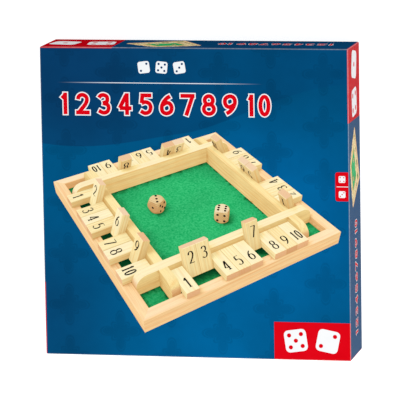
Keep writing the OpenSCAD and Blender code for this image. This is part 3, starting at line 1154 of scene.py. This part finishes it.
def lid_paper_material(gloss):
    """The printed ground, rubbed pale along the folds and with a painted highlight there, stronger to the
    back right, on paper with a seam near each corner.
    """
    tree = Tree(f"lid_paper_{FINISHES[gloss]}")
    colour, x, y, z = ground(tree)
    across, along = abs(x), abs(y)
    out, corner = LID_HALF - across.most(along), LID_HALF - across.least(along)
    down = LID_TOP - z
    edge = out.most(down).least(out.most(corner))
    rub = tree.noise(tree.point, 700.0, 4.0, 0.7)
    # pale folds: rubbed wear, and a painted highlight that grows towards the back right
    rub_and_fold_highlight = edge.span(0.35, 0.95, 1.0, 0.0) * rub.span(0.25, 0.6, 0.4, 1.0)
    fold_highlight_side = (x + y).span(-60.0, 60.0, 0.12, 0.32)
    colour = tree.mix(rub_and_fold_highlight * fold_highlight_side, colour, lin(238, 240, 242))
    fibre = tree.noise(tree.point, 1400.0, 4.0, 0.6)
    slow = tree.noise(tree.point, 9.0, 2.0)
    seam = abs(corner - 11.0).span(0.0, 0.22, 1.0, 0.0) * down.span(0.6, 1.4)
    height = fibre * 0.05 + slow + seam * 0.12
    rough = fibre.vary(0.36, 0.44) + rub_and_fold_highlight * 0.25
    return tree.finish(colour, rough, tree.bump(height, 0.40, 0.5), gloss)


def tray_paper_material():
    """Plain blue cover paper of the tray, lightly scuffed."""
    tree = Tree("tray_paper")
    fibre = tree.noise(tree.point, 1400.0, 4.0, 0.6)
    cloud = tree.noise(tree.point, 30.0).vary()
    colour = tree.mix(cloud, lin(14, 60, 104), lin(16, 66, 111)).dim(fibre.vary(0.95, 1.04))
    rough = fibre.vary(0.44, 0.54)
    return tree.finish(colour, rough, tree.bump(fibre, 0.02, 0.4), gloss=0.3)


lid_paper = paper_shell("lid_paper", LID_HALF, LID_TOP, LID_RIM, lid_paper_material(SATIN))
lid_paper.data.materials.append(lid_paper_material(MATT))
for face in lid_paper.data.polygons:
    face.material_index = int(abs(face.normal.y) > 0.5)
tray_paper = paper_shell("tray_paper", TRAY_HALF, TRAY_FLOOR, TRAY_RIM, tray_paper_material())
for paper, body in ((lid_paper, "lid"), (tray_paper, "tray")):
    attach(paper, body)
    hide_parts(f"{body}_wrap")

# ---------------------------------------------------------------- prints on the lid

# Thickness of a level of ink in mm: what is printed over another print lies a level higher
INK = 0.03
# Rows of numbers: left and right end, middle and height of the figures, width of their edge
TITLE_ROW, SIDE_ROW = (-109.0, 63.0, 79.5, 17.5, 0.85), (-109.0, -15.0, -3.0, 10.5, 0.5)
# The tab at the lid's right edge: x, y, width, height and radius of its corners
TAB = (121.0, 15.4, 14.4, 23.2, 1.8)
TAB_BAR = rectangle(114.8, 15.1, PRINT_EDGE, 15.6)
# Widths of the bold numbers as shares of their height, and how wide the 1 is drawn in its place
BOLD_WIDTHS = {n: {1: 0.40, 10: 1.25}.get(n, 0.66) for n in TILES}
BOLD_ONE = 0.60
# Faces of dice: x, y, size, pips and turn
SMALL_DICE = [(-40.0, 109.2, 9.5, 2, 0.12), (-25.5, 109.2, 9.5, 5, -0.1), (-11.0, 109.2, 9.5, 3, 0.16)]
BLOCK_DICE = [(80.5, -109.4, 18.0, 5, 0.14), (106.5, -109.4, 18.0, 2, -0.2)]
TAB_DICE = [(119.2, 21.3, 5.4, 4, 0.0), (119.2, 9.2, 5.4, 3, 0.0)]
SIDE_DICE = [(80.0, 0.0, 22.0, 4, 0.1), (110.0, 0.0, 22.0, 1, -0.16)]
# Scale of the picture on the sides, and its middle there
SIDE_SCALE, SIDE_MIDDLE = 0.27, 28.0
INK_COLOURS = {
    "red": (lin(220, 2, 18), lin(232, 8, 26)),
    # the sides' blocks take the face's red darkened, as painted shade
    "shaded_side_red": (lin(202, 2, 18), lin(212, 8, 26)),
    "white": (lin(248, 249, 250), lin(255, 255, 255)),
    "black": (lin(20, 18, 16), lin(40, 34, 30)),
}
# What the picture shows: light and dark colour, and for wood how far off the pith is, the period
# of the rings and how strongly end grain shows
LOOKS = {
    "rail": (lin(255, 214, 155), lin(248, 184, 120), (0.03, 0.05), 0.004, 0.6),
    "wall": (lin(255, 228, 158), lin(246, 198, 122), (0.03, 0.05), 0.004, 0.6),
    "tile": (lin(255, 234, 172), lin(250, 202, 126), (0.03, 0.02), 0.003, 0.75),
    "felt": (lin(62, 190, 118), lin(18, 160, 88)),
    "die": (lin(234, 200, 140), lin(200, 154, 96), (0.01, 0.02), 0.002, 0.2),
}


def rule_material():
    """A thin line that fades out at both ends, into the ground's own colour."""
    tree = Tree("rule_ink")
    colour, x, _, _ = ground(tree)
    dots = tree.noise(tree.point, 2400.0, 2.0)
    share = abs(x - (RULE_LEFT + RULE_RIGHT) / 2).span(30.0, 85.0, 0.95, 0.0)
    colour = tree.mix(share * dots.span(0.2, 0.7, 0.9, 1.0), colour, lin(235, 240, 246))
    return tree.finish(colour, dots.vary(0.38, 0.46), gloss=SATIN)


def printed_felt(tree, source, light, dark):
    nap = tree.noise(source, 420.0, 4.0, 0.7)
    cloud = tree.noise(source, 22.0)
    return tree.mix(nap.vary(), dark, light).dim(cloud.vary(0.94, 1.06))


def printed_wood(tree, source, light, dark, pith, period, ends):
    colour, _ = grain(tree, source, light, dark, 2.0, pith, period)
    return tree.mix(tree.attribute("end", 2).span(0.75, 0.95) * ends, colour, END_GRAIN)


def picture_material(kind, gloss):
    """Print of wood or felt: the grain follows where each point lies on the piece it shows."""
    tree = Tree(f"print_{kind}_{FINISHES[gloss]}")
    source, shade = tree.attribute("source", 1), tree.attribute("shade", 2)
    if kind == "felt":
        tint, palest, powers = printed_felt(tree, source, *LOOKS[kind]), 0.0, (1.4, 1.0, 1.0)
    else:
        tint, palest, powers = printed_wood(tree, source, *LOOKS[kind]), 0.45, (0.75, 1.0, 1.35)
    # deep shade turns warmer, and full light nearly white, as in a print
    warm = tree.mix(1.0, tint, lin(255, 236, 214), "MULTIPLY")
    colour = tree.mix(shade.span(0.45, 1.0, 1.0, 0.0), tint, warm)
    colour = tree.mix(shade.span(1.05, 1.4, 0.0, palest), colour, lin(255, 244, 214))
    light = shade.least(1.12)
    colour = tree.mix(1.0, colour, tree.join(*(light ** power for power in powers)), "MULTIPLY")
    dots = tree.noise(tree.point, 1800.0, 2.0)
    colour = colour.dim(dots.vary(0.97, 1.03))
    rough = dots.vary(0.38, 0.46)
    return tree.finish(colour, rough, tree.bump(dots, 0.01, 0.3), gloss)


INKS = {
    (ink, gloss): ink_material(f"{ink}_{finish}", *colours, gloss)
    for gloss, finish in FINISHES.items() for ink, colours in INK_COLOURS.items()
}
PICTURE_MATERIALS = {
    gloss: [picture_material(kind, gloss) for kind in KINDS] for gloss in FINISHES
}


def on_lid(made):
    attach(made, "lid")


def prints(name, shapes, place, level, material):
    """A print on the lid: flat polygons in mm, on the face that place leads to."""
    index, vertices, faces = {}, [], []
    for shape in shapes:
        face = []
        for x, y in shape:
            key = (round(x, 4), round(y, 4))
            if key not in index:
                index[key] = len(vertices)
                vertices.append(place @ Vector((x * MM, y * MM, level * INK * MM)))
            if index[key] not in face:
                face.append(index[key])
        if len(face) > 2:
            faces.append(face)
    on_lid(mesh_object(name, vertices, faces, [material]))


def number_prints(name, place, row, edge_ink, ink):
    """The numbers 1 to 10 in bold figures with an edge, evenly spaced from left to right."""
    left, right, y, height, edge = row
    widths = {n: height * share for n, share in BOLD_WIDTHS.items()}
    gap = (right - left - sum(widths.values())) / (len(TILES) - 1)
    for suffix, grow, level, material in (("_edge", edge, 1, edge_ink), ("", 0.0, 2, ink)):
        shapes, x = [], left
        for n, wide in widths.items():
            drawn = height * BOLD_ONE if n == 1 else wide
            for triangle in numeral(str(n), height, drawn, "sans", grow):
                shapes.append([(px + x + wide / 2, py + y) for px, py in triangle])
            x += wide + gap
        prints(name + suffix, shapes, place, level, material)


def dice_prints(name, place, level, faces, plate_ink, pip_ink, others=()):
    """Faces of dice: rounded squares with pips on them. others is printed with the squares."""
    plates = [rounded(x, y, size, size, size * DIE_CORNER, turn) for x, y, size, _, turn in faces]
    pips = [pip for face in faces for pip in pip_discs(*face, PRINTED_PIP)]
    prints(f"{name}_dice", [*plates, *others], place, level, plate_ink)
    prints(f"{name}_pips", pips, place, level + 1, pip_ink)


def picture_prints(name, place, scale, picture, gloss):
    """The picture at a scale, and over it the numbers and pips that it shows."""
    points = [place @ Vector((x * scale * MM, y * scale * MM, INK * MM)) for x, y in picture["points"]]
    made = mesh_object(name, points, picture["faces"], PICTURE_MATERIALS[gloss], picture["kinds"])
    for key, kind, field, values in (
        ("shade", "FLOAT", "value", picture["shade"]),
        ("end", "FLOAT", "value", picture["end"]),
        ("source", "FLOAT_VECTOR", "vector", [c for p in picture["source"] for c in p]),
    ):
        made.data.attributes.new(key, kind, "POINT").data.foreach_set(field, values)
    on_lid(made)
    shapes = [[(x * scale, y * scale) for x, y in shape] for shape in picture["ink"]]
    prints(f"{name}_marks", shapes, place, 2, INKS["black", gloss])


def side_place(k):
    """The middle of the lid's side number k, with x to the right as seen from outside."""
    middle = (LID_TOP + LID_RIM) / 2 * MM
    return (
        Matrix.Rotation(k * QUARTER, 4, "Z") @ Matrix.Translation((0, -lid_high.x, middle))
        @ Matrix.Rotation(QUARTER, 4, "X")
    )


def print_face(picture):
    """The lid's face: the title's place, the block in the corner, the tab and the picture."""
    place, gloss = Matrix.Translation((0, 0, lid_high.z)), GLOSS["top"]
    red, white = INKS["red", gloss], INKS["white", gloss]
    navy = ink_material("navy_ink", lin(14, 58, 101), lin(20, 68, 112))
    number_prints("lid_numbers", place, TITLE_ROW, white, red)
    rule = rectangle(RULE_LEFT, RULE_LOW, RULE_RIGHT, RULE_HIGH)
    prints("lid_rule", [rule], place, 1, rule_material())
    dice_prints("lid_small", place, 1, SMALL_DICE, white, navy)
    block = rectangle(BLOCK_X, -PRINT_EDGE, PRINT_EDGE, BLOCK_Y)
    prints("lid_block", [block], place, 3, red)
    dice_prints("lid_block", place, 4, BLOCK_DICE, white, red)
    tab = [(min(x, PRINT_EDGE), y) for x, y in rounded(*TAB)]
    prints("lid_tab", [tab], place, 1, red)
    dice_prints("lid_tab", place, 2, TAB_DICE, white, red, [TAB_BAR])
    picture_prints("lid_picture", place, 1.0, picture, gloss)


def print_side(k, side, picture):
    """A side of the lid: numbers, the picture again, and the block with dice."""
    place, gloss = side_place(k), GLOSS[side]
    red, white = INKS["red", gloss], INKS["white", gloss]
    number_prints(f"{side}_numbers", place, SIDE_ROW, white, red)
    half_height = (LID_TOP - LID_RIM) / 2 - PRINT_IN
    block = rectangle(SIDE_BLOCK_X, -half_height, PRINT_EDGE, half_height)
    # the block's red is darker than the face's red, which is painted shade
    prints(f"{side}_block", [block], place, 1, INKS["shaded_side_red", gloss])
    dice_prints(side, place, 2, SIDE_DICE, white, red)
    x0, y0, x1, y1 = bounds_2d(picture["points"])
    x, y = SIDE_MIDDLE - SIDE_SCALE * (x0 + x1) / 2, -SIDE_SCALE * (y0 + y1) / 2
    place = place @ Matrix.Translation((x * MM, y * MM, 0))
    picture_prints(f"{side}_picture", place, SIDE_SCALE, picture, gloss)


picture = make_picture()
print_face(picture)
for k, side in enumerate(SIDES):
    print_side(k, side, picture)

# ---------------------------------------------------------------- stage, light and camera

FLOOR_HALF, WORLD_LIGHT = 14.0, 0.68
# The lamp's place in metres, the side of its square and its power
LAMP_PLACE, LAMP_SIZE, LAMP_POWER = (1.1, -1.2, 2.1), 1.6, 30.0
WHITE = (1.0, 1.0, 1.0, 1.0)


def floor_material():
    """Pale floor that the camera sees as white, apart from the object's shadow."""
    tree = Tree("pale_floor")
    paths = tree.nodes.new("ShaderNodeLightPath").outputs
    by_camera, by_gloss, through = (
        Value(tree, paths[f"Is {ray} Ray"]) for ray in ("Camera", "Glossy", "Transmission")
    )
    seen = by_camera.most(by_gloss).most(through)
    cloud = tree.noise(tree.point, 3.0, 2.0)
    colour = tree.mix(cloud, lin(228, 228, 229), lin(234, 234, 234))
    tree.put(tree.shader.inputs["Emission Strength"], seen * 0.7)
    rough = cloud.span(0.2, 0.8, 0.85, 0.9)
    return tree.finish(colour, rough, gloss=0.0, Emission_Color=WHITE)


def studio_world():
    """Soft light from all round, and a white backdrop for the camera."""
    world = bpy.data.worlds.new("studio")
    bpy.context.scene.world = world
    world.use_nodes = True
    nodes, links = world.node_tree.nodes, world.node_tree.links
    nodes.clear()
    both = nodes.new("ShaderNodeMixShader")
    for n, colour, strength in ((1, (0.96, 0.98, 1.0, 1.0), WORLD_LIGHT), (2, WHITE, 1.0)):
        light = nodes.new("ShaderNodeBackground")
        light.inputs[0].default_value = colour
        light.inputs[1].default_value = strength
        links.new(light.outputs[0], both.inputs[n])
    links.new(nodes.new("ShaderNodeLightPath").outputs["Is Camera Ray"], both.inputs[0])
    links.new(both.outputs[0], nodes.new("ShaderNodeOutputWorld").inputs[0])


def stage():
    # a hair below the tray's bottom face, so that the two don't share a plane
    corners = [
        (x, y, -0.05 * MM) for x, y in rectangle(-FLOOR_HALF, -FLOOR_HALF, FLOOR_HALF, FLOOR_HALF)
    ]
    mesh_object("floor", corners, [(0, 1, 2, 3)], [floor_material()])
    studio_world()
    lamp = bpy.data.lights.new("key", "AREA")
    lamp.shape, lamp.size, lamp.energy = "SQUARE", LAMP_SIZE, LAMP_POWER
    made = bpy.data.objects.new("key", lamp)
    made.location = LAMP_PLACE
    made.rotation_euler = (-Vector(LAMP_PLACE)).to_track_quat("-Z", "Y").to_euler()
    bpy.context.scene.collection.objects.link(made)


# The photograph's view: nearly from above, a little from the right and the back. Its scale is
# in pixels of the photograph per mm at the point aimed at.
CAMERA_RIGHT, CAMERA_BACK, CAMERA_ROLL = math.radians(12.0), math.radians(9.0), math.radians(-0.924)
CAMERA_FAR, PIXELS_PER_MM, PHOTO_WIDTH, SENSOR = 3.2, 1.2427, 400, 36.0
CAMERA_AIM = Vector((-0.00152, -0.00118, 0.0264))


def camera():
    way = Vector((math.tan(CAMERA_RIGHT), math.tan(CAMERA_BACK), 1.0)).normalized()
    ahead = -way
    right = ahead.cross(Vector((0, 1, 0))).normalized()
    up = right.cross(ahead)
    c, s = math.cos(CAMERA_ROLL), math.sin(CAMERA_ROLL)
    right, up = right * c + up * s, up * c - right * s
    data = bpy.data.cameras.new("camera")
    data.sensor_width = SENSOR
    data.lens = PIXELS_PER_MM * CAMERA_FAR / MM / PHOTO_WIDTH * SENSOR
    made = bpy.data.objects.new("camera", data)
    bpy.context.scene.collection.objects.link(made)
    axes = Matrix((right, up, way)).transposed().to_4x4()
    made.matrix_world = Matrix.Translation(CAMERA_AIM + way * CAMERA_FAR) @ axes
    bpy.context.scene.camera = made


stage()
camera()
bpy.context.scene.view_settings.view_transform = "Standard"
